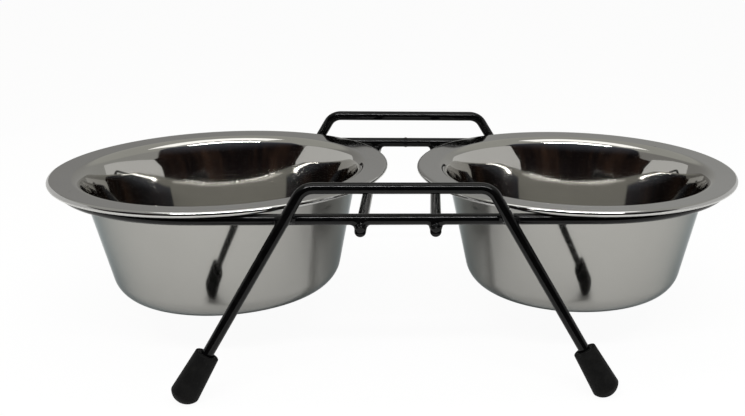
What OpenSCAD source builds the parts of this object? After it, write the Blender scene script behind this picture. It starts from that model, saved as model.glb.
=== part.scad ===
// Raised double feeder for a small dog: two steel bowls hang by their rims in a
// welded wire stand that stands on four rubber feet.
// Units are millimetres. X runs along the stand, Y from front to back, Z up.
// The origin is on the floor, midway between the bowls.

/* [Bowls] */
// Outside diameter of a bowl's body, just under the flange
throat_d = 129.5; // [110:0.5:180]
// Width of the flange, from the body to the outside of the rolled rim
flange_w = 15.25; // [12:0.25:22]
// Height of a bowl from its base to the top of its rim
bowl_h = 61; // [45:0.5:70]
// Slope of the bowl's wall from the vertical
wall_angle = 12.5; // [5:0.5:20]
// Thickness of the pressed sheet
sheet_t = 0.8; // [0.5:0.1:1.2]
// Outside radius of the corner between wall and base
base_corner_r = 13.5; // [6:0.5:16]
// Radius, at mid sheet, where the wall turns out into the flange
shoulder_r = 5; // [3:0.25:6]
// Radius, at mid sheet, of the rolled rim
bead_r = 1; // [0.8:0.1:2]
// How far round the rim is rolled
bead_turn = 240; // [180:10:270]
// Upward slope of the flange towards the rim
flange_rise = 3; // [0:0.5:6]
// Gap between the rims of the two bowls
rim_gap = 14.5; // [10:0.5:40]

/* [Wire stand] */
// Diameter of the coated wire
wire_d = 5; // [4:0.25:6]
// Height of the rail's centreline above the floor
rail_z = 77; // [70:0.5:130]
// Distance of the handle bars from the rail's height, up along the sloping leg frames
handle_rise = 14.75; // [12:0.25:25]
// Slope of the legs along the stand, in the plane of their frame
leg_angle = 30; // [20:1:35]
// Slope of the leg frames from the vertical, out to the front and the back
leg_splay = 10; // [0:1:15]
// Bend radius of the wire at its centreline
bend_r = 8; // [6:0.5:12]
// How far the cross bars reach past the rail's outer side
bar_overhang = 1; // [0:0.25:2]
// How much thicker the wire is in its bends
bend_swell = 0.02; // [0.02:0.01:0.1]
// How far a straight run reaches into the bend after it
bend_lap = 0.3; // [0.2:0.05:0.3]

/* [Welds] */
// How far crossing wires are pressed into each other
weld_set = 0.3; // [0.1:0.05:0.6]
// How far the weld beads between legs and rail stand out past the wire's radius
leg_weld_out = 1.3; // [0.8:0.1:2]
// How far the weld beads between cross bars and rail stand out past the wire's radius
bar_weld_out = 1.7; // [1.2:0.1:2.4]
// Height of the butt weld's bead over the wire
butt_weld_h = 0.35; // [0.2:0.05:0.6]
// Width of the butt weld's bead along the wire
butt_weld_w = 1.8; // [1.4:0.1:3]

/* [Feet] */
// Length of a rubber foot along the leg
foot_l = 24; // [18:0.5:30]
// Thickness of a foot's rubber round the wire, at its mouth
foot_wall = 2.75; // [2:0.25:4]
// How much wider a foot is where its domed sole starts
foot_flare = 2; // [0:0.25:4]
// Height of the domed sole
foot_dome_h = 4; // [3:0.25:6]
// Thickness of rubber under the end of the wire
foot_sole = 5; // [3:0.25:8]
// Depth of the flat that the floor presses into the dome
foot_flat = 0.4; // [0.2:0.05:0.8]
// Chamfer round the mouth of a foot's socket
foot_lead_in = 0.8; // [0.3:0.1:1.5]

/* [Clearances] */
// Radial gap between the bowl's body and the rail round it
ring_clearance = 6.25; // [4:0.25:10]
// Gap between the rail and the bowl that rests on it
seat_gap = 0.25; // [0.1:0.05:0.5]
// Gap between a bowl's rim and the legs that pass it
leg_rim_gap = 4.75; // [0.5:0.25:8]
// Gap between a bowl's throat and the cross bar beside it
bar_bowl_gap = 3.75; // [1:0.25:6]

/* [Hidden] */

$fn = 96;
LEFT = -1;
RIGHT = 1;
FRONT = -1;
REAR = 1;
COATING = [0.03, 0.03, 0.035];
RUBBER = [0.06, 0.06, 0.06];
STEEL = [0.78, 0.77, 0.75];

// Plan of the stand
wire_r = wire_d / 2;
bowl_r = throat_d / 2 + flange_w;
bowl_x = bowl_r + rim_gap / 2;
rail_r = throat_d / 2 + ring_clearance + wire_r;
crossing = wire_d - weld_set;
leg_y = rail_r + crossing / cos(leg_splay);
bar_z = rail_z - crossing;
bar_x = bowl_x - throat_d / 2 - bar_bowl_gap - wire_r;
bar_half = rail_r + wire_r + bar_overhang;
leg_weld_r = wire_r + leg_weld_out;
bar_weld_r = wire_r + bar_weld_out;

// Bowl section, with its base at height 0: centres of the bead, shoulder and base corner
bead_out = bead_r + sheet_t / 2;
along_flange = [cos(flange_rise), sin(flange_rise)];
off_flange = [-sin(flange_rise), cos(flange_rise)];
bead_c = [bowl_r - bead_out, bowl_h - bead_out];
shoulder_in = shoulder_r - sheet_t / 2;
shoulder_x = throat_d / 2 + shoulder_in * cos(wall_angle);
bead_back = bead_c + (bead_r - shoulder_r) * off_flange;
shoulder_c = bead_back - along_flange * (bead_back.x - shoulder_x) / along_flange.x;
wall_top_z = shoulder_c.y + shoulder_in * sin(wall_angle);
corner_wall_r = throat_d / 2 - (wall_top_z - base_corner_r) * tan(wall_angle);
corner_c = [corner_wall_r - base_corner_r / cos(wall_angle), base_corner_r];

// Seat of the bowl: its rolled rim lies on the straight runs of the rail, where it crosses them, and the
// bowl leans out until its flange lies on the rail's far end
flange_start = shoulder_c + shoulder_in * off_flange;
flange_at_rail = flange_start.y + (rail_r - flange_start.x) * tan(flange_rise);
flange_over_bead = flange_at_rail - bead_c.y + bead_out;
rim_on_rail = sqrt(max(0, bead_c.x ^ 2 - rail_r ^ 2));
lean_rise = flange_over_bead / (rail_r + rim_on_rail);
bowl_lean = asin(lean_rise);
rim_z = rail_z + wire_r + seat_gap + bead_out - rim_on_rail * lean_rise;

// Leg frames, drawn flat with X along the stand and Y up from the rail's height: the legs pass the widest
// height of the rims with their clearance, and lean in to the handle bar
rim_up = (rim_z - rail_z) / cos(leg_splay);
leg_y_at_rim = leg_y - rim_up * sin(leg_splay);
leg_room = bowl_r + leg_rim_gap + wire_r / cos(leg_angle);
leg_at_rim_x = bowl_x - sqrt(leg_room ^ 2 - leg_y_at_rim ^ 2);
leg_at_rail_x = leg_at_rim_x + rim_up * tan(leg_angle);
handle_x = leg_at_rail_x - handle_rise * tan(leg_angle);
leg_turn = 90 - leg_angle;
bend_x = handle_x - bend_r * tan(leg_turn / 2);
down_leg = [sin(leg_angle), -cos(leg_angle)];

// Welds of the legs lie where the leg's axis comes nearest to the rail's
weld_up = crossing * tan(leg_splay);
weld_x = leg_at_rail_x - weld_up * tan(leg_angle);

// Feet: the dome's centre lies on the leg's axis, and the floor cuts the dome flat
foot_top_r = wire_r + foot_wall;
foot_bottom_r = foot_top_r + foot_flare / 2;
dome_r = (foot_bottom_r ^ 2 + foot_dome_h ^ 2) / (2 * foot_dome_h);
dome_up = (dome_r - foot_flat - rail_z) / cos(leg_splay);
dome_c = [leg_at_rail_x - dome_up * tan(leg_angle), dome_up];
foot_y = leg_y - dome_up * sin(leg_splay);
foot_tip = dome_c + dome_r * down_leg;
leg_end = foot_tip - foot_sole * down_leg;
leg_start = [bend_x, handle_rise - bend_r] + bend_r * [cos(leg_angle), sin(leg_angle)];
leg_l = norm(leg_end - leg_start);

// Length of a cutter that reaches past any piece that it cuts
cutter = 60;

// Points along an arc
function arc(c, r, from, to, steps = 16) =
    [for (i = [0:steps]) let (a = from + (to - from) * i / steps) c + r * [cos(a), sin(a)]];

function reversed(points) = [for (i = [len(points) - 1:-1:0]) points[i]];

// One side of the bowl's sheet, off mid sheet towards the inside of the bowl
function bowl_side(off) = concat(
    [[0, sheet_t / 2 + off]],
    arc(corner_c, base_corner_r - sheet_t / 2 - off, -90, -wall_angle),
    arc(shoulder_c, shoulder_r + off, 180 - wall_angle, 90 + flange_rise),
    arc(bead_c, bead_r + off, 90 + flange_rise, 90 + flange_rise - bead_turn));

// A straight piece of wire along X, centred on its middle
module run_along_x(length) {
    rotate([0, 90, 0]) cylinder(d = wire_d, h = length, center = true);
}

// A bent piece of wire about the Z axis, from the X axis
module bend(r, turn) {
    rotate_extrude(angle = turn) translate([r, 0]) circle(d = wire_d + bend_swell);
}

// The straight run of the rail at the front or the back
module rail_run(side) {
    translate([0, side * rail_r, rail_z]) run_along_x(2 * (bowl_x + bend_lap));
}

// The straight wire of a cross bar, before it is pressed into the rail
module bar_run(hand) {
    translate([hand * bar_x, 0, bar_z]) rotate(90) run_along_x(2 * bar_half);
}

// Puts what is drawn flat for a leg frame in its place at the front or the back
module in_leg_plane(side) {
    translate([0, side * leg_y, rail_z]) rotate([90 + side * leg_splay, 0, 0]) children();
}

// Right-hand bend and leg of a leg frame, drawn flat
module leg_half() {
    translate([bend_x, handle_rise - bend_r, 0]) rotate(leg_angle) {
        bend(bend_r, leg_turn);
        translate([bend_r, bend_lap, 0]) rotate([90, 0, 0])
            cylinder(d = wire_d, h = leg_l + bend_lap);
    }
}

// Closed loop of wire that carries both bowls
module support_rail() {
    color(COATING) {
        rail_run(FRONT);
        rail_run(REAR);
        translate([bowl_x, 0, rail_z]) rotate(-90) bend(rail_r, 180);
        translate([-bowl_x, 0, rail_z]) rotate(90) bend(rail_r, 180);
    }
}

// Bead where the ends of the rail's wire are welded together, midway along the back
module rail_butt_weld() {
    bead = (butt_weld_h ^ 2 + (butt_weld_w / 2) ^ 2) / (2 * butt_weld_h);
    color(COATING)
        translate([0, rail_r, rail_z]) rotate([0, 90, 0])
            rotate_extrude() intersection() {
                translate([wire_r + butt_weld_h - bead, 0]) circle(r = bead);
                translate([wire_r, -bead]) square([butt_weld_h, 2 * bead]);
            }
}

// Wire bent into two legs and the handle bar between them, pressed into the rail where they cross
module leg_frame(side) {
    color(COATING) difference() {
        in_leg_plane(side) {
            translate([0, handle_rise, 0]) run_along_x(2 * (bend_x + bend_lap));
            leg_half();
            mirror([1, 0, 0]) leg_half();
        }
        rail_run(side);
    }
}

// Straight wire under the rail, beside a bowl's throat, pressed into the rail at both ends
module cross_bar(hand) {
    color(COATING) difference() {
        bar_run(hand);
        rail_run(FRONT);
        rail_run(REAR);
    }
}

// Bead of weld metal round the place where a leg crosses the rail
module leg_weld(hand, side) {
    color(COATING) difference() {
        in_leg_plane(side) translate([hand * weld_x, weld_up, side * crossing / 2])
            sphere(r = leg_weld_r);
        rail_run(side);
        in_leg_plane(side) translate([hand * leg_at_rail_x, 0, 0]) rotate(hand * leg_angle)
            rotate([90, 0, 0]) cylinder(d = wire_d, h = cutter, center = true);
    }
}

// Bead of weld metal round the place where a cross bar passes under the rail
module bar_weld(hand, side) {
    color(COATING) difference() {
        translate([hand * bar_x, side * rail_r, rail_z - crossing / 2])
            sphere(r = bar_weld_r);
        rail_run(side);
        bar_run(hand);
        translate([hand * bar_x, side * (bar_half + cutter / 2), bar_z])
            cube(cutter, center = true);
    }
}

// Section of a foot, radius across and height along the leg from the tip of its dome
module foot_section() {
    difference() {
        union() {
            intersection() {
                translate([0, dome_r]) circle(r = dome_r);
                square([foot_bottom_r, foot_dome_h]);
            }
            polygon([[0, foot_dome_h], [foot_bottom_r, foot_dome_h],
                     [foot_top_r, foot_l], [0, foot_l]]);
        }
        polygon([[0, foot_sole], [wire_r, foot_sole], [wire_r, foot_l - foot_lead_in],
                 [wire_r + foot_lead_in, foot_l], [0, foot_l]]);
    }
}

// Rubber ferrule pushed over the end of a leg, standing on its pressed flat
module foot(hand, side) {
    color(RUBBER) difference() {
        in_leg_plane(side) mirror([hand == LEFT ? 1 : 0, 0, 0])
            translate(foot_tip) rotate(leg_angle) rotate([-90, 0, 0])
                rotate_extrude() foot_section();
        translate([hand * dome_c.x, side * foot_y, -cutter / 2])
            cube(cutter, center = true);
    }
}

// Pressed steel bowl, hung in the rail by its rim
module bowl(hand) {
    color(STEEL)
        translate([hand * bowl_x, 0, rim_z]) rotate([0, hand * bowl_lean, 0]) translate([0, 0, -bead_c.y])
            rotate_extrude()
                polygon(concat(bowl_side(sheet_t / 2), reversed(bowl_side(-sheet_t / 2))));
}

support_rail();
rail_butt_weld();
leg_frame(FRONT);  // front_leg_frame
leg_frame(REAR);  // rear_leg_frame
cross_bar(LEFT);  // left_cross_bar
cross_bar(RIGHT);  // right_cross_bar
leg_weld(LEFT, FRONT);  // front_left_leg_weld
leg_weld(RIGHT, FRONT);  // front_right_leg_weld
leg_weld(LEFT, REAR);  // rear_left_leg_weld
leg_weld(RIGHT, REAR);  // rear_right_leg_weld
bar_weld(LEFT, FRONT);  // left_bar_front_weld
bar_weld(LEFT, REAR);  // left_bar_rear_weld
bar_weld(RIGHT, FRONT);  // right_bar_front_weld
bar_weld(RIGHT, REAR);  // right_bar_rear_weld
foot(LEFT, FRONT);  // front_left_foot
foot(RIGHT, FRONT);  // front_right_foot
foot(LEFT, REAR);  // rear_left_foot
foot(RIGHT, REAR);  // rear_right_foot
bowl(LEFT);  // left_bowl
bowl(RIGHT);  // right_bowl
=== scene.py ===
"""Looks, light and camera for a raised dog feeder: two steel bowls in a coated wire stand on rubber feet."""
import math

import bmesh
import bpy
from mathutils import Matrix, Vector, noise


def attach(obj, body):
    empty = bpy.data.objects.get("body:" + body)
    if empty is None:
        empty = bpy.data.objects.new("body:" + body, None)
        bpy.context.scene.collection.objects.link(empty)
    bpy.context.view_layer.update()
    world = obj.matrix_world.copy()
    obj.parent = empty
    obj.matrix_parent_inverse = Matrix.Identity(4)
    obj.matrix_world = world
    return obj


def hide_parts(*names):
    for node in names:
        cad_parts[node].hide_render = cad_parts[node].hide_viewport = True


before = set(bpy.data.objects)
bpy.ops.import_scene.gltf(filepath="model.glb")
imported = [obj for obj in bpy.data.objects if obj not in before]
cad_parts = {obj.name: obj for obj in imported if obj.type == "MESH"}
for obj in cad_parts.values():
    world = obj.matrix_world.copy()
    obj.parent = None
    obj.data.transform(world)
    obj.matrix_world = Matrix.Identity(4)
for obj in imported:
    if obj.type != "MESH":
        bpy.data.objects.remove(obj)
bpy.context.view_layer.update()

# Sizes in millimetres, as in the part's source
MM = 0.001
THROAT_R = 64.75
FLANGE_W = 15.25
BOWL_H = 61.0
WALL_ANGLE = 12.5
SHEET = 0.8
CORNER_R = 13.5
SHOULDER_R = 5.0
BEAD_R = 1.0
BEAD_TURN = 240.0
FLANGE_RISE = 3.0
RIM_GAP = 14.5
WIRE_D = 5.0
RAIL_Z = 77.0
HANDLE_RISE = 14.75
LEG_ANGLE = 30.0
LEG_SPLAY = 10.0
BEND_R = 8.0
BAR_OVERHANG = 1.0
WELD_SET = 0.3
FOOT_L = 24.0
FOOT_WALL = 2.75
FOOT_FLARE = 2.0
FOOT_DOME_H = 4.0
FOOT_SOLE = 5.0
FOOT_FLAT = 0.4
FOOT_LEAD_IN = 0.8
RING_CLEARANCE = 6.25
SEAT_GAP = 0.25
LEG_RIM_GAP = 4.75
BAR_BOWL_GAP = 3.75

# Names of the halves of the stand, and which way they lie along X and along Y
HANDS = (("left", -1), ("right", 1))
SIDES = (("front", -1), ("rear", 1))


def cosd(angle):
    return math.cos(math.radians(angle))


def sind(angle):
    return math.sin(math.radians(angle))


def tand(angle):
    return math.tan(math.radians(angle))


WIRE_R = WIRE_D / 2
BOWL_R = THROAT_R + FLANGE_W
BOWL_X = BOWL_R + RIM_GAP / 2
RAIL_R = THROAT_R + RING_CLEARANCE + WIRE_R
CROSSING = WIRE_D - WELD_SET
LEG_Y = RAIL_R + CROSSING / cosd(LEG_SPLAY)
BAR_Z = RAIL_Z - CROSSING
BAR_X = BOWL_X - THROAT_R - BAR_BOWL_GAP - WIRE_R
BAR_HALF = RAIL_R + WIRE_R + BAR_OVERHANG

# Bowl section: centres of the bead, the shoulder and the base corner, with heights from the base
BEAD_OUT = BEAD_R + SHEET / 2
BEAD_C = Vector((BOWL_R - BEAD_OUT, BOWL_H - BEAD_OUT))
SHOULDER_IN = SHOULDER_R - SHEET / 2
ALONG_FLANGE = Vector((cosd(FLANGE_RISE), sind(FLANGE_RISE)))
OFF_FLANGE = Vector((-sind(FLANGE_RISE), cosd(FLANGE_RISE)))
SHOULDER_X = THROAT_R + SHOULDER_IN * cosd(WALL_ANGLE)
BEAD_BACK = BEAD_C + (BEAD_R - SHOULDER_R) * OFF_FLANGE
SHOULDER_C = BEAD_BACK - ALONG_FLANGE * ((BEAD_BACK.x - SHOULDER_X) / ALONG_FLANGE.x)
WALL_TOP_Z = SHOULDER_C.y + SHOULDER_IN * sind(WALL_ANGLE)
CORNER_WALL_R = THROAT_R - (WALL_TOP_Z - CORNER_R) * tand(WALL_ANGLE)
CORNER_C = Vector((CORNER_WALL_R - CORNER_R / cosd(WALL_ANGLE), CORNER_R))
FLANGE_START = SHOULDER_C + SHOULDER_IN * OFF_FLANGE

# Seat: the rolled rim lies on the straight runs of the rail, and the bowl leans out onto the rail's far end
FLANGE_AT_RAIL = FLANGE_START.y + (RAIL_R - FLANGE_START.x) * tand(FLANGE_RISE)
RIM_ON_RAIL = math.sqrt(BEAD_C.x ** 2 - RAIL_R ** 2)
LEAN_RISE = (FLANGE_AT_RAIL - BEAD_C.y + BEAD_OUT) / (RAIL_R + RIM_ON_RAIL)
LEAN = math.asin(LEAN_RISE)
RIM_Z = RAIL_Z + WIRE_R + SEAT_GAP + BEAD_OUT - RIM_ON_RAIL * LEAN_RISE

# Leg frames, flat in their sloping plane: across the stand and up from the rail's height
RIM_UP = (RIM_Z - RAIL_Z) / cosd(LEG_SPLAY)
LEG_Y_AT_RIM = LEG_Y - RIM_UP * sind(LEG_SPLAY)
LEG_ROOM = BOWL_R + LEG_RIM_GAP + WIRE_R / cosd(LEG_ANGLE)
LEG_AT_RIM_X = BOWL_X - math.sqrt(LEG_ROOM ** 2 - LEG_Y_AT_RIM ** 2)
LEG_AT_RAIL_X = LEG_AT_RIM_X + RIM_UP * tand(LEG_ANGLE)
HANDLE_X = LEG_AT_RAIL_X - HANDLE_RISE * tand(LEG_ANGLE)
BEND_X = HANDLE_X - BEND_R * tand((90.0 - LEG_ANGLE) / 2)
DOWN_LEG = Vector((sind(LEG_ANGLE), -cosd(LEG_ANGLE)))
WELD_UP = CROSSING * tand(LEG_SPLAY)
WELD_X = LEG_AT_RAIL_X - WELD_UP * tand(LEG_ANGLE)
FOOT_TOP_R = WIRE_R + FOOT_WALL
FOOT_BOTTOM_R = FOOT_TOP_R + FOOT_FLARE / 2
DOME_R = (FOOT_BOTTOM_R ** 2 + FOOT_DOME_H ** 2) / (2 * FOOT_DOME_H)
DOME_UP = (DOME_R - FOOT_FLAT - RAIL_Z) / cosd(LEG_SPLAY)
FOOT_TIP = Vector((LEG_AT_RAIL_X - DOME_UP * tand(LEG_ANGLE), DOME_UP)) + DOME_R * DOWN_LEG
LEG_END = FOOT_TIP - FOOT_SOLE * DOWN_LEG


def leg_plane(side):
    """Turns places that are flat in a leg frame (across, up, out) into places in the stand."""
    turn = Matrix.Rotation(math.radians(90.0 + side * LEG_SPLAY), 4, "X")
    return Matrix.Translation(Vector((0.0, side * LEG_Y, RAIL_Z))) @ turn


# Mesh helpers
ON_AXIS = 1e-6
CUT_ROUND = 0.5
CUT_STEPS = 4


def arc(centre, radius, start, end, steps):
    """Points of an arc in a plane, angles in degrees."""
    turn = (end - start) / steps
    angles = [start + turn * i for i in range(steps + 1)]
    return [centre + radius * Vector((cosd(angle), sind(angle))) for angle in angles]


def line(start, end, steps):
    """Points of a straight line in equal steps, with both of its ends."""
    return [start.lerp(end, i / steps) for i in range(steps + 1)]


def new_object(name, mesh, body, node, place=None):
    """Puts a mesh in the scene, on its body, in place of its CAD node."""
    piece = bpy.data.objects.new(name, mesh)
    bpy.context.scene.collection.objects.link(piece)
    if place is not None:
        piece.matrix_world = place
        bpy.context.view_layer.update()
    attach(piece, body)
    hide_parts(node)


def mesh_from(name, points, faces, materials, face_materials=None):
    """A smooth-shaded mesh from points in millimetres, with its faces turned outwards."""
    mesh = bpy.data.meshes.new(name)
    mesh.from_pydata([point * MM for point in points], [], faces)
    for material in materials:
        mesh.materials.append(material)
    for index, polygon in enumerate(mesh.polygons):
        polygon.use_smooth = True
        if face_materials:
            polygon.material_index = face_materials[index]
    draft = bmesh.new()
    draft.from_mesh(mesh)
    bmesh.ops.recalc_face_normals(draft, faces=draft.faces)
    draft.to_mesh(mesh)
    draft.free()
    mesh.update()
    return mesh


def lathe(profile, segments, wobble=None):
    """Points and faces of a profile of (radius, height) turned about Z, and the profile's row of each face.

    The profile may touch the axis at its ends.
    """
    points = []
    rings = []
    for radius, height in profile:
        if radius < ON_AXIS:
            rings.append([len(points)] * segments)
            points.append(Vector((0.0, 0.0, height)))
            continue
        rings.append(list(range(len(points), len(points) + segments)))
        for step in range(segments):
            angle = 2 * math.pi * step / segments
            r, z = (radius, height) if wobble is None else wobble(radius, height, angle)
            points.append(Vector((r * math.cos(angle), r * math.sin(angle), z)))
    faces = []
    owners = []
    for row in range(len(rings) - 1):
        low, high = rings[row], rings[row + 1]
        for step in range(segments):
            after = (step + 1) % segments
            corners = [low[step], low[after], high[after], high[step]]
            face = list(dict.fromkeys(corners))
            if len(face) > 2:
                faces.append(face)
                owners.append(row)
    return points, faces, owners


def closing_shift(point, first_ring):
    """How far the first ring is turned against the last one of a closed wire."""
    return min(range(len(first_ring)), key=lambda i: (first_ring[i] - point).length)


def tube(path, radius, ring, closed):
    """Points and faces of a round wire along a path, with rounded cut ends where it is open."""
    count = len(path)
    tangents = []
    for i in range(count):
        before = path[(i - 1) % count] if closed or i > 0 else path[i]
        after = path[(i + 1) % count] if closed or i < count - 1 else path[i]
        tangents.append((after - before).normalized())
    side = tangents[0].orthogonal().normalized()
    stations = []
    for i in range(count):
        if i > 0:
            side = tangents[i - 1].rotation_difference(tangents[i]) @ side
            side = (side - tangents[i] * side.dot(tangents[i])).normalized()
        stations.append((path[i], tangents[i], side.copy(), radius))
    if not closed:
        lead = []
        tail = []
        for step in range(CUT_STEPS + 1):
            angle = 90.0 * step / CUT_STEPS
            inset = CUT_ROUND * (1 - sind(angle))
            narrowed = radius - CUT_ROUND * (1 - cosd(angle))
            lead.append((path[0] + tangents[0] * inset, tangents[0], stations[0][2], narrowed))
            tail.append((path[-1] - tangents[-1] * inset, tangents[-1], stations[-1][2], narrowed))
        stations = lead[::-1] + stations[1:-1] + tail
    points = []
    for place, along, across, r in stations:
        over = along.cross(across)
        for step in range(ring):
            angle = 2 * math.pi * step / ring
            points.append(place + r * (math.cos(angle) * across + math.sin(angle) * over))
    faces = []
    rows = len(stations)
    for row in range(rows if closed else rows - 1):
        shift = 0
        if closed and row == rows - 1:
            shift = closing_shift(points[row * ring], points[:ring])
        this_row = row * ring
        next_row = ((row + 1) % rows) * ring
        for step in range(ring):
            after = (step + 1) % ring
            faces.append([this_row + step, this_row + after,
                          next_row + (after + shift) % ring, next_row + (step + shift) % ring])
    if not closed:
        faces.append(list(range(ring))[::-1])
        faces.append(list(range((rows - 1) * ring, rows * ring)))
    return points, faces


# Material helpers
class Nodes:
    """Short ways to add and join shader nodes."""

    def __init__(self, tree):
        self.tree = tree

    def add(self, kind, **settings):
        node = self.tree.nodes.new(kind)
        for key, value in settings.items():
            setattr(node, key, value)
        return node

    def join(self, source, target):
        self.tree.links.new(source, target)

    def feed(self, socket, value):
        if isinstance(value, bpy.types.NodeSocket):
            self.join(value, socket)
        else:
            socket.default_value = value

    def math(self, operation, a, b):
        node = self.add("ShaderNodeMath", operation=operation)
        self.feed(node.inputs[0], a)
        self.feed(node.inputs[1], b)
        return node.outputs[0]

    def vector(self, operation, a, b=(0.0, 0.0, 0.0)):
        node = self.add("ShaderNodeVectorMath", operation=operation)
        self.feed(node.inputs[0], a)
        self.feed(node.inputs[1], b)
        return node.outputs[0]

    def split(self, vector):
        node = self.add("ShaderNodeSeparateXYZ")
        self.join(vector, node.inputs[0])
        return node.outputs

    def length(self, vector):
        node = self.add("ShaderNodeVectorMath", operation="LENGTH")
        self.join(vector, node.inputs[0])
        return node.outputs["Value"]

    def merge(self, x, y, z):
        node = self.add("ShaderNodeCombineXYZ")
        for socket, value in zip(node.inputs, (x, y, z)):
            self.feed(socket, value)
        return node.outputs[0]

    def noise(self, vector, scale, detail, roughness):
        node = self.add("ShaderNodeTexNoise")
        self.join(vector, node.inputs["Vector"])
        node.inputs["Scale"].default_value = scale
        node.inputs["Detail"].default_value = detail
        node.inputs["Roughness"].default_value = roughness
        return node.outputs["Fac"]

    def spread(self, value, start, end, low=0.0, high=1.0, smooth=False):
        node = self.add("ShaderNodeMapRange", interpolation_type="SMOOTHSTEP" if smooth else "LINEAR")
        self.feed(node.inputs["Value"], value)
        node.inputs["From Min"].default_value = start
        node.inputs["From Max"].default_value = end
        node.inputs["To Min"].default_value = low
        node.inputs["To Max"].default_value = high
        return node.outputs["Result"]

    def blend(self, factor, a, b):
        node = self.add("ShaderNodeMix", data_type="RGBA")
        self.feed(node.inputs[0], factor)
        self.feed(node.inputs[6], a)
        self.feed(node.inputs[7], b)
        return node.outputs[2]

    def bump(self, height, distance, strength, normal=None):
        node = self.add("ShaderNodeBump")
        node.inputs["Strength"].default_value = strength
        node.inputs["Distance"].default_value = distance
        self.join(height, node.inputs["Height"])
        if normal is not None:
            self.join(normal, node.inputs["Normal"])
        return node.outputs[0]

    def mix_shaders(self, factor, a, b):
        node = self.add("ShaderNodeMixShader")
        self.join(factor, node.inputs[0])
        self.join(a, node.inputs[1])
        self.join(b, node.inputs[2])
        return node.outputs[0]


def new_material(name):
    """A material with a Principled shader; gives the material, its nodes and the shader."""
    material = bpy.data.materials.new(name)
    material.use_nodes = True
    nodes = Nodes(material.node_tree)
    shader = material.node_tree.nodes["Principled BSDF"]
    return material, nodes, shader


# Materials of the part, with the depths of their bumps in metres
WHITE = (1.0, 1.0, 1.0)
SMEAR_DULLS = 0.95
SPECK_TONE = (0.06, 0.05, 0.045, 1.0)
SPECK_ROUGH = 0.3
LINE_CLIMB = 0.12
LINE_DEPTH = 0.00001
UPRIGHT_LINES_SHOW, ROUND_LINES_SHOW = 0.22, 0.06
WAVE_DEPTH = 0.00006
COATING_CLEAN = (0.0015, 0.0015, 0.0016, 1.0)
COATING_DUSTY = (0.004, 0.004, 0.0042, 1.0)
COATING_SHINE = 0.18
PEEL_DEPTH = 0.00005
RUBBER_CLEAN = (0.004, 0.004, 0.004, 1.0)
RUBBER_SCUFFED = (0.009, 0.0088, 0.0085, 1.0)
RUBBER_SHINE = 0.07
GRAIN_DEPTH = 0.0001


def steel_material(name, tone, edge_tone, rough_low, rough_high, upright, speck_share):
    """Polished stainless steel with polishing lines, smears, fine scratches, slight waves and a few specks.

    The polishing lines run up the wall where upright is true, and round the bowl otherwise.
    """
    material, nodes, shader = new_material(name)
    place = nodes.add("ShaderNodeTexCoord").outputs["Object"]
    x, y, z = nodes.split(place)
    flat = nodes.merge(x, y, 0.0)
    if upright:
        climb = nodes.merge(0.0, 0.0, nodes.math("MULTIPLY", z, LINE_CLIMB))
        line_place = nodes.vector("ADD", nodes.vector("NORMALIZE", flat), climb)
        lines = nodes.noise(line_place, scale=240.0, detail=3.0, roughness=0.6)
    else:
        line_place = nodes.merge(nodes.length(flat), z, 0.0)
        lines = nodes.noise(line_place, scale=2600.0, detail=2.0, roughness=0.6)
    smears = nodes.noise(place, scale=28.0, detail=4.0, roughness=0.55)
    scratches = nodes.noise(place, scale=2400.0, detail=2.0, roughness=0.6)
    spots = nodes.noise(place, scale=420.0, detail=1.0, roughness=0.4)
    specks = nodes.spread(spots, start=0.79, end=0.81, high=speck_share)
    waves = nodes.noise(place, scale=45.0, detail=1.0, roughness=0.4)

    smeared = nodes.spread(smears, start=0.35, end=0.7, low=rough_low, high=rough_high)
    lined = nodes.math("ADD", smeared, nodes.spread(lines, start=0.3, end=0.7, low=-0.01, high=0.02))
    worn = nodes.math("ADD", lined, nodes.spread(scratches, start=0.58, end=0.68, high=0.12))
    rough = nodes.math("ADD", worn, nodes.math("MULTIPLY", specks, SPECK_ROUGH))
    nodes.join(rough, shader.inputs["Roughness"])

    dull = tuple(SMEAR_DULLS * channel for channel in tone) + (1.0,)
    bright = tuple(tone) + (1.0,)
    steel = nodes.blend(nodes.spread(smears, start=0.3, end=0.7), dull, bright)
    nodes.join(nodes.blend(specks, steel, SPECK_TONE), shader.inputs["Base Color"])
    shader.inputs["Metallic"].default_value = 1.0
    shader.inputs["Specular Tint"].default_value = tuple(edge_tone) + (1.0,)

    wavy = nodes.bump(waves, WAVE_DEPTH, strength=1.0)
    lines_show = UPRIGHT_LINES_SHOW if upright else ROUND_LINES_SHOW
    nodes.join(nodes.bump(lines, LINE_DEPTH, lines_show, wavy), shader.inputs["Normal"])
    return material


def coating_material():
    """Glossy black coating on wire, with a little orange peel and dust."""
    material, nodes, shader = new_material("coating_black")
    place = nodes.add("ShaderNodeTexCoord").outputs["Object"]
    dust = nodes.noise(place, scale=160.0, detail=4.0, roughness=0.6)
    peel = nodes.noise(place, scale=700.0, detail=2.0, roughness=0.5)
    tone = nodes.blend(nodes.spread(dust, start=0.45, end=0.8), COATING_CLEAN, COATING_DUSTY)
    nodes.join(tone, shader.inputs["Base Color"])
    rough = nodes.spread(dust, start=0.3, end=0.75, low=0.05, high=0.11)
    nodes.join(rough, shader.inputs["Roughness"])
    shader.inputs["Specular IOR Level"].default_value = COATING_SHINE
    nodes.join(nodes.bump(peel, PEEL_DEPTH, strength=0.35), shader.inputs["Normal"])
    return material


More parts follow.
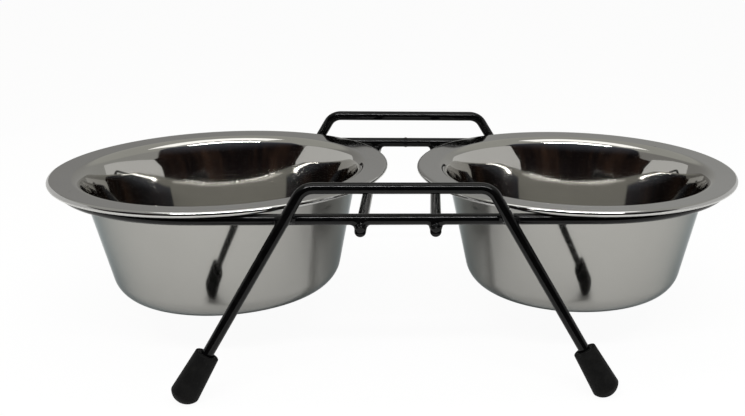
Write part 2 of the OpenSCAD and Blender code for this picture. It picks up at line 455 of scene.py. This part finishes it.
def rubber_material():
    """Matte black rubber with a fine moulded grain and dusty scuffs."""
    material, nodes, shader = new_material("rubber_black")
    place = nodes.add("ShaderNodeTexCoord").outputs["Object"]
    scuff = nodes.noise(place, scale=240.0, detail=5.0, roughness=0.65)
    grain = nodes.noise(place, scale=2200.0, detail=3.0, roughness=0.6)
    tone = nodes.blend(nodes.spread(scuff, start=0.45, end=0.8), RUBBER_CLEAN, RUBBER_SCUFFED)
    nodes.join(tone, shader.inputs["Base Color"])
    rough = nodes.spread(scuff, start=0.3, end=0.75, low=0.5, high=0.72)
    nodes.join(rough, shader.inputs["Roughness"])
    shader.inputs["Specular IOR Level"].default_value = RUBBER_SHINE
    nodes.join(nodes.bump(grain, GRAIN_DEPTH, strength=0.4), shader.inputs["Normal"])
    return material


inside_steel = steel_material("steel_inside", tone=(0.50, 0.49, 0.465), edge_tone=WHITE,
                              rough_low=0.03, rough_high=0.05, upright=False, speck_share=0.0)
flange_steel = steel_material("steel_flange", tone=(0.48, 0.475, 0.465), edge_tone=WHITE,
                              rough_low=0.05, rough_high=0.09, upright=False, speck_share=0.7)
# The outside is the same steel as the inside. Its darker tone is painted shade that stands in for dimmer
# reflections on the outer wall, and its edge tone is painted shade that dims the grazing reflections at the
# wall's sides. Its upright polishing lines and higher roughness are its real finish.
outside_steel_painted_shade = steel_material("steel_outside_painted_shade", tone=(0.335, 0.33, 0.315), edge_tone=(0.46, 0.50, 0.52),
                               rough_low=0.06, rough_high=0.10, upright=True, speck_share=0.0)
coating = coating_material()
rubber = rubber_material()

# Bowls: the wall flares slowly before the shoulder's tight bend; a trim keeps the rim inside its radius
INSIDE, FLANGE, OUTSIDE = 0, 1, 2
RIM_TRIM = 0.9996
FLARE_R = 50.0
FLARE_TURN = 10.0
FLARE_END = 180 - WALL_ANGLE - FLARE_TURN
FLARE_MORE = FLARE_R - SHOULDER_R
FLARE_OUT = FLARE_MORE * (1 - cosd(FLARE_TURN)) / cosd(FLANGE_RISE + WALL_ANGLE)
TIGHT_C = SHOULDER_C + FLARE_OUT * ALONG_FLANGE
FLARE_C = TIGHT_C - FLARE_MORE * Vector((cosd(FLARE_END), sind(FLARE_END)))

# Steps of the bowl's section
BOWL_SEGMENTS = 288
BASE_RADII = (0.0, 8.0, 16.0, 24.0, 32.0, 40.0)
CORNER_STEPS = 24
WALL_STEPS = 12
FLARE_STEPS = 10
SHOULDER_STEPS = 20
FLANGE_STEPS = 6
BEAD_STEPS = 32

# The inside finish ends three steps before the tight bend does, and the outside finish one step after it
INSIDE_ENDS = FLARE_STEPS + SHOULDER_STEPS - 3
OUTSIDE_ENDS = FLARE_STEPS + SHOULDER_STEPS + 2


def sheet_side(off):
    """A face of the sheet, off its middle: from the axis to the wall's top, and on to the bead's end."""
    base = [Vector((radius, SHEET / 2 + off)) for radius in BASE_RADII]
    corner = arc(CORNER_C, CORNER_R - SHEET / 2 - off, -90, -WALL_ANGLE, CORNER_STEPS)
    shoulder = arc(FLARE_C, FLARE_R + off, 180 - WALL_ANGLE, FLARE_END, FLARE_STEPS)[:-1]
    shoulder += arc(TIGHT_C, SHOULDER_R + off, FLARE_END, 90 + FLANGE_RISE, SHOULDER_STEPS)
    wall = line(corner[-1], shoulder[0], WALL_STEPS)[1:-1]
    bead = arc(BEAD_C, BEAD_R + off, 90 + FLANGE_RISE, 90 + FLANGE_RISE - BEAD_TURN, BEAD_STEPS)
    flange = line(shoulder[-1], bead[0], FLANGE_STEPS)[1:-1]
    return base + corner + wall, shoulder + flange + bead


def bowl_profile():
    """The section of a bowl from the axis inside to the axis outside, with the finish of each stretch."""
    deep_in, top = sheet_side(SHEET / 2)
    deep_out, under = sheet_side(-SHEET / 2)
    section = deep_in + top + under[::-1] + deep_out[::-1]
    profile = [Vector((RIM_TRIM * point.x, point.y)) for point in section]
    finishes = [INSIDE] * (len(deep_in) + INSIDE_ENDS)
    finishes += [FLANGE] * (len(top) - INSIDE_ENDS + len(under) - OUTSIDE_ENDS)
    finishes += [OUTSIDE] * (len(deep_out) + OUTSIDE_ENDS)
    return profile, finishes


def make_bowl(name, hand):
    profile, finishes = bowl_profile()
    points, faces, owners = lathe(profile, BOWL_SEGMENTS)
    face_finishes = [finishes[row] for row in owners]
    mesh = mesh_from(name, points, faces, [inside_steel, flange_steel, outside_steel_painted_shade], face_finishes)
    place = (Matrix.Translation(Vector((hand * BOWL_X, 0.0, RIM_Z)) * MM)
             @ Matrix.Rotation(hand * LEAN, 4, "Y")
             @ Matrix.Translation(Vector((0.0, 0.0, -BEAD_C.y)) * MM))
    new_object(name, mesh, name, name, place)


for hand_name, hand in HANDS:
    make_bowl(hand_name + "_bowl", hand)

# Wires
WIRE_RING = 28
RAIL_TURN_STEPS = 90
RAIL_RUN_STEPS = 24
HANDLE_STEPS = 10
BEND_STEPS = 18
LEG_STEPS = 20
BAR_STEPS = 24


def make_wire(name, path, closed=False):
    points, faces = tube(path, WIRE_R, WIRE_RING, closed)
    new_object(name + "_wire", mesh_from(name, points, faces, [coating]), "stand", name)


def rail_path():
    right = arc(Vector((BOWL_X, 0.0)), RAIL_R, -90, 90, RAIL_TURN_STEPS)
    left = arc(Vector((-BOWL_X, 0.0)), RAIL_R, 90, 270, RAIL_TURN_STEPS)
    back = line(right[-1], left[0], RAIL_RUN_STEPS)[1:-1]
    front = line(left[-1], right[0], RAIL_RUN_STEPS)[1:-1]
    return [Vector((point.x, point.y, RAIL_Z)) for point in right + back + left + front]


def leg_path(side):
    bar = line(Vector((0.0, HANDLE_RISE)), Vector((BEND_X, HANDLE_RISE)), HANDLE_STEPS)[:-1]
    bend = arc(Vector((BEND_X, HANDLE_RISE - BEND_R)), BEND_R, 90, LEG_ANGLE, BEND_STEPS)
    leg = line(bend[-1], LEG_END, LEG_STEPS)[1:]
    half = bar + bend + leg
    whole = [Vector((-point.x, point.y)) for point in reversed(half[1:])] + half
    place = leg_plane(side)
    return [place @ Vector((point.x, point.y, 0.0)) for point in whole]


make_wire("support_rail", rail_path(), closed=True)
for side_name, side in SIDES:
    make_wire(side_name + "_leg_frame", leg_path(side))
for hand_name, hand in HANDS:
    front_end = Vector((hand * BAR_X, -BAR_HALF, BAR_Z))
    rear_end = Vector((hand * BAR_X, BAR_HALF, BAR_Z))
    make_wire(hand_name + "_cross_bar", line(front_end, rear_end, BAR_STEPS))

# Welds, in millimetres: their reach from the centre, the width of their fillets, and how uneven they are
ALONG_X = Vector((1.0, 0.0, 0.0))
ALONG_Y = Vector((0.0, 1.0, 0.0))
LEG_WELD_REACH, LEG_WELD_FILLET, LEG_WELD_SEED = 4.6, 3.2, 3.1
BAR_WELD_REACH, BAR_WELD_FILLET, BAR_WELD_SEED = 4.4, 3.0, 5.3
BALL_DIVISIONS = 5
LUMP_SCALE = 2.2
FILLET_UNEVEN = 0.35
REACH_UNEVEN = 0.06
FIRST_REACH = 0.4
REACH_STEP = 0.03
WELD_SKIN = 0.02
BUTT_HALF = 0.9
BUTT_H = 0.35
BUTT_SINK = 0.05
BUTT_STEPS = 12
BUTT_SEGMENTS = 48
BUTT_LUMP_SCALE = 1.7
BUTT_UNEVEN = 0.4


def wire_gap(point, on_axis, along):
    """Distance from a point to the surface of a straight wire."""
    off = point - on_axis
    return (off - along * off.dot(along)).length - WIRE_R


def make_weld(name, centre, wires, reach, fillet, seed):
    """A bead that fills the corners between two crossing wires, uneven as weld metal is.

    Each point of a ball moves out in small steps until it leaves the metal or has reached far enough.
    """
    ball = bmesh.new()
    bmesh.ops.create_icosphere(ball, subdivisions=BALL_DIVISIONS, radius=1.0)
    for vert in ball.verts:
        out = vert.co.normalized()
        lump = noise.noise(out * LUMP_SCALE + Vector((seed, 0.0, 0.0)))
        width = fillet * (1 + FILLET_UNEVEN * lump)
        limit = reach * (1 + REACH_UNEVEN * lump)
        length = FIRST_REACH
        while length < limit:
            a = wire_gap(centre + out * length, *wires[0])
            b = wire_gap(centre + out * length, *wires[1])
            near = max(width - abs(a - b), 0.0) / width
            if min(a, b) - near * near * width / 4 + WELD_SKIN > 0:
                break
            length += REACH_STEP
        vert.co = (centre + out * length) * MM
    for face in ball.faces:
        face.smooth = True
    mesh = bpy.data.meshes.new(name)
    ball.to_mesh(mesh)
    ball.free()
    mesh.materials.append(coating)
    new_object(name + "_bead", mesh, "stand", name)


for side_name, side in SIDES:
    for hand_name, hand in HANDS:
        on_rail = Vector((hand * WELD_X, side * RAIL_R, RAIL_Z))
        on_leg = leg_plane(side) @ Vector((hand * WELD_X, WELD_UP, 0.0))
        down = leg_plane(side).to_3x3() @ Vector((hand * DOWN_LEG.x, DOWN_LEG.y, 0.0))
        make_weld(side_name + "_" + hand_name + "_leg_weld", (on_rail + on_leg) / 2,
                  [(on_rail, ALONG_X), (on_leg, down)],
                  LEG_WELD_REACH, LEG_WELD_FILLET, LEG_WELD_SEED * side + hand)
        over_bar = Vector((hand * BAR_X, side * RAIL_R, RAIL_Z))
        on_bar = Vector((hand * BAR_X, side * RAIL_R, BAR_Z))
        make_weld(hand_name + "_bar_" + side_name + "_weld", (over_bar + on_bar) / 2,
                  [(over_bar, ALONG_X), (on_bar, ALONG_Y)],
                  BAR_WELD_REACH, BAR_WELD_FILLET, BAR_WELD_SEED * side + 2 * hand)


def make_butt_weld():
    """The low ring of weld metal round the rail's wire."""
    sunk_r = WIRE_R - BUTT_SINK
    profile = []
    for i in range(BUTT_STEPS + 1):
        across = -1 + 2 * i / BUTT_STEPS
        height = (BUTT_H + BUTT_SINK) * math.cos(across * math.pi / 2)
        profile.append((sunk_r + height, across * BUTT_HALF))

    def uneven(radius, z, angle):
        round_wire = Vector((math.cos(angle) * BUTT_LUMP_SCALE, math.sin(angle) * BUTT_LUMP_SCALE, z))
        lift = 1 + BUTT_UNEVEN * noise.noise(round_wire)
        return sunk_r + (radius - sunk_r) * min(lift, 1.0), z

    points, faces, _ = lathe(profile, BUTT_SEGMENTS, uneven)
    turn = Matrix.Rotation(math.pi / 2, 3, "Y")
    centre = Vector((0.0, RAIL_R, RAIL_Z))
    mesh = mesh_from("rail_butt_weld", [turn @ point + centre for point in points], faces, [coating])
    new_object("rail_butt_weld_bead", mesh, "stand", "rail_butt_weld")


make_butt_weld()

# Feet: the dome's edge, the rounded lip and the mouth of the socket that closes on the wire
DOME_SHORT = 3.0
DOME_STEPS = 28
SIDE_ABOVE_DOME = 0.35
SIDE_STEPS = 12
LIP_R = 0.5
LIP_STEPS = 6
MOUTH_OUT, MOUTH_DOWN = 0.25, 0.35
SOCKET_GAP = 0.02
SOCKET_SHOWN = 4.0
FOOT_SEGMENTS = 72


def foot_profile():
    """Section of a foot from the tip of its dome to a little way down its socket, with rounded edges."""
    dome_turn = math.degrees(math.asin(FOOT_BOTTOM_R / DOME_R)) - DOME_SHORT
    dome = arc(Vector((0.0, DOME_R)), DOME_R, -90, -90 + dome_turn, DOME_STEPS)
    dome[0].x = 0.0
    side_low = Vector((FOOT_BOTTOM_R, FOOT_DOME_H + SIDE_ABOVE_DOME))
    side_top = Vector((FOOT_TOP_R, FOOT_L - LIP_R))
    side = line(side_low, side_top, SIDE_STEPS)
    lip = arc(Vector((FOOT_TOP_R - LIP_R, FOOT_L - LIP_R)), LIP_R, 0, 90, LIP_STEPS)
    mouth = [Vector((WIRE_R + FOOT_LEAD_IN, FOOT_L)),
             Vector((WIRE_R + MOUTH_OUT, FOOT_L - MOUTH_DOWN)),
             Vector((WIRE_R + SOCKET_GAP, FOOT_L - FOOT_LEAD_IN)),
             Vector((WIRE_R + SOCKET_GAP, FOOT_L - SOCKET_SHOWN))]
    return dome + side + lip[1:] + mouth


def make_foot(name, hand, side):
    points, faces, _ = lathe(foot_profile(), FOOT_SEGMENTS)
    upright = Matrix.Rotation(math.radians(-90.0), 4, "X")
    lean = Matrix.Rotation(math.radians(LEG_ANGLE), 4, "Z")
    in_plane = Matrix.Translation(Vector((FOOT_TIP.x, FOOT_TIP.y, 0.0))) @ lean @ upright
    placed = []
    for point in points:
        spot = leg_plane(side) @ in_plane @ point
        placed.append(Vector((hand * spot.x, spot.y, max(spot.z, 0.0))))
    mesh = mesh_from(name, placed, faces, [rubber])
    new_object(name + "_ferrule", mesh, "stand", name)


for side_name, side in SIDES:
    for hand_name, hand in HANDS:
        make_foot(side_name + "_" + hand_name + "_foot", hand, side)


# Stage helpers
def clear_from_behind(material, nodes, front):
    """Gives a material this shader on its front, and leaves it clear from behind."""
    behind = nodes.add("ShaderNodeNewGeometry").outputs["Backfacing"]
    clear = nodes.add("ShaderNodeBsdfTransparent").outputs[0]
    surface = material.node_tree.nodes["Material Output"].inputs["Surface"]
    nodes.join(nodes.mix_shaders(behind, front, clear), surface)


def make_stage(name, corners, material, seen):
    """A flat four-cornered piece of the stage, seen by the camera or only in mirror images."""
    mesh = bpy.data.meshes.new(name)
    mesh.from_pydata(corners, [], [(0, 1, 2, 3)])
    mesh.materials.append(material)
    flat_piece = bpy.data.objects.new(name, mesh)
    flat_piece.visible_camera = seen
    bpy.context.scene.collection.objects.link(flat_piece)


# White sheet under the stand, which ends a little in front of it and is clear from below; in metres
SHEET_HALF = 6.0
SHEET_FRONT = -0.24
SHEET_BELOW = -0.00005
SHEET_TONE = (0.93, 0.93, 0.92, 1.0)
SHEET_ROUGH = 0.9
WHITE_SEEN = 0.95
WHITE_MIRRORED = 0.1

floor_paint, floor_nodes, floor_shader = new_material("floor_white")
floor_shader.inputs["Base Color"].default_value = SHEET_TONE
floor_shader.inputs["Roughness"].default_value = SHEET_ROUGH
floor_shader.inputs["Specular IOR Level"].default_value = 0.0
white = floor_nodes.add("ShaderNodeEmission")
ray = floor_nodes.add("ShaderNodeLightPath").outputs
mirrored = floor_nodes.math("MAXIMUM", ray["Is Glossy Ray"], ray["Is Transmission Ray"])
white_mirrored = floor_nodes.math("MULTIPLY", mirrored, WHITE_MIRRORED)
white_seen = floor_nodes.math("MULTIPLY", ray["Is Camera Ray"], WHITE_SEEN)
white_share = floor_nodes.math("MAXIMUM", white_seen, white_mirrored)
floor_top = floor_nodes.mix_shaders(white_share, floor_shader.outputs[0], white.outputs[0])
clear_from_behind(floor_paint, floor_nodes, floor_top)
floor_corners = [(-SHEET_HALF, SHEET_FRONT, SHEET_BELOW), (SHEET_HALF, SHEET_FRONT, SHEET_BELOW),
                 (SHEET_HALF, SHEET_HALF, SHEET_BELOW), (-SHEET_HALF, SHEET_HALF, SHEET_BELOW)]
make_stage("floor", floor_corners, floor_paint, seen=True)

# Surroundings: a dark room in front, a pale back and ceiling
BACK_LEFT_GLOW = (0.30, 0.295, 0.285, 1.0)
BACK_RIGHT_GLOW = (0.42, 0.42, 0.405, 1.0)
CEILING_GLOW = (0.50, 0.50, 0.47, 1.0)
ROOM_DARK = (0.008, 0.006, 0.006, 1.0)
ROOM_BROWN = (0.045, 0.026, 0.018, 1.0)
ROOM_HIGH = (0.10, 0.11, 0.135, 1.0)

# Where one tone passes into the next, in the parts of a direction of length one
ROOM_EDGE = (0.0, -0.04)
ROOM_TOP = (0.68, 0.62)
ROOM_HIGH_AT = (0.36, 0.64)
ROOM_SETBACK = 0.3
ROOM_SETBACK_AT = (0.25, 0.35)
STREAK_AT = (0.45, 0.75)
STREAK_SQUEEZE = 0.2
BACK_ACROSS = (-0.5, 0.5)
CEILING_AT = (0.42, 0.55)

world = bpy.data.worlds.new("studio")
bpy.context.scene.world = world
world.use_nodes = True
around = Nodes(world.node_tree)
background = world.node_tree.nodes["Background"]
dir_x, dir_y, dir_z = around.split(around.add("ShaderNodeTexCoord").outputs["Generated"])
setback = around.spread(dir_z, *ROOM_SETBACK_AT, high=ROOM_SETBACK, smooth=True)
room_front = around.spread(around.math("ADD", dir_y, setback), *ROOM_EDGE, smooth=True)
room = around.math("MULTIPLY", room_front, around.spread(dir_z, *ROOM_TOP, smooth=True))
streak_place = around.merge(dir_x, 0.0, around.math("MULTIPLY", dir_z, STREAK_SQUEEZE))
streaks = around.noise(streak_place, scale=4.0, detail=4.0, roughness=0.6)
room_low = around.blend(around.spread(streaks, *STREAK_AT), ROOM_DARK, ROOM_BROWN)
room_tone = around.blend(around.spread(dir_z, *ROOM_HIGH_AT, smooth=True), room_low, ROOM_HIGH)
to_right = around.spread(dir_x, *BACK_ACROSS, smooth=True)
back_tone = around.blend(to_right, BACK_LEFT_GLOW, BACK_RIGHT_GLOW)
shell = around.blend(around.spread(dir_z, *CEILING_AT, smooth=True), back_tone, CEILING_GLOW)
around.join(around.blend(room, shell, room_tone), background.inputs["Color"])

# Pale walls beside the stand, lit on the side that faces it and clear from outside; in metres
SIDE_WALL_X = 0.35
SIDE_WALL_LEAN = 0.18
SIDE_WALL_BACK = 0.42
SIDE_WALL_TOP = 0.24
SIDE_WALL_FRONT = {"left": -0.19, "right": -0.275}
SIDE_WALL_TONE = (1.0, 1.0, 0.985, 1.0)
SIDE_WALL_GLOW = 0.74

wall_paint, wall_nodes, _ = new_material("wall_pale")
wall_light = wall_nodes.add("ShaderNodeEmission")
wall_light.inputs["Color"].default_value = SIDE_WALL_TONE
wall_light.inputs["Strength"].default_value = SIDE_WALL_GLOW
clear_from_behind(wall_paint, wall_nodes, wall_light.outputs[0])
for hand_name, hand in HANDS:
    wall_x = hand * SIDE_WALL_X
    wall_front = SIDE_WALL_FRONT[hand_name]
    wall_corners = [(wall_x, wall_front, 0.0), (wall_x, SIDE_WALL_BACK, 0.0),
                    (wall_x, SIDE_WALL_BACK, SIDE_WALL_TOP),
                    (wall_x, wall_front + SIDE_WALL_LEAN, SIDE_WALL_TOP)]
    if hand > 0:
        wall_corners.reverse()
    make_stage("wall_" + hand_name, wall_corners, wall_paint, seen=False)

# Panel of light overhead and a row of small lamps in front of it; in metres
LAMP_Z = 0.83
PANEL_Y = -0.065
PANEL_W, PANEL_DEPTH = 0.9, 0.41
PANEL_RADIANCE = 1.5
ROW_COUNT = 26
ROW_STEP = 0.0375
ROW_Y = -0.63
ROW_LAMP_W, ROW_LAMP_DEPTH = 0.018, 0.11
ROW_RADIANCE = 60.0


def make_lamp(name, place, width, depth, radiance):
    """A flat lamp that faces down; its power follows from how bright it looks."""
    data = bpy.data.lights.new(name, "AREA")
    data.shape = "RECTANGLE"
    data.size = width
    data.size_y = depth
    data.energy = radiance * math.pi * width * depth
    lamp = bpy.data.objects.new(name, data)
    lamp.location = place
    lamp.visible_camera = False
    bpy.context.scene.collection.objects.link(lamp)


make_lamp("panel", (0.0, PANEL_Y, LAMP_Z), PANEL_W, PANEL_DEPTH, PANEL_RADIANCE)
for number in range(ROW_COUNT):
    lamp_x = (number - (ROW_COUNT - 1) / 2) * ROW_STEP
    make_lamp("row_lamp", (lamp_x, ROW_Y, LAMP_Z), ROW_LAMP_W, ROW_LAMP_DEPTH, ROW_RADIANCE)

# Camera at the photograph's viewing angle: picture sizes in pixels, angles in radians, place in millimetres
PHOTO_W = 745
FOCAL_PX = 1120.1
AXIS_RIGHT, AXIS_DOWN = 157.0, 1.0
YAW, PITCH, ROLL = -0.09033, 0.28678, 0.02384
CAMERA_AT = Vector((14.72, -541.18, 219.98))
SENSOR_W = 36.0
NEAREST, FARTHEST = 0.01, 50.0

forward = Vector((-math.sin(YAW) * math.cos(PITCH), math.cos(YAW) * math.cos(PITCH), -math.sin(PITCH)))
level = Vector((math.cos(YAW), math.sin(YAW), 0.0))
upward = level.cross(forward)
right = math.cos(ROLL) * level + math.sin(ROLL) * upward
up = -math.sin(ROLL) * level + math.cos(ROLL) * upward
facing = Matrix((right, up, -forward)).transposed().to_4x4()
camera_data = bpy.data.cameras.new("camera")
camera = bpy.data.objects.new("camera", camera_data)
bpy.context.scene.collection.objects.link(camera)
camera.matrix_world = Matrix.Translation(CAMERA_AT * MM) @ facing
camera_data.sensor_width = SENSOR_W
camera_data.lens = SENSOR_W * FOCAL_PX / PHOTO_W
camera_data.shift_x = -AXIS_RIGHT / PHOTO_W
camera_data.shift_y = AXIS_DOWN / PHOTO_W
camera_data.clip_start = NEAREST
camera_data.clip_end = FARTHEST
bpy.context.scene.camera = camera

bpy.context.scene.view_settings.view_transform = "Standard"
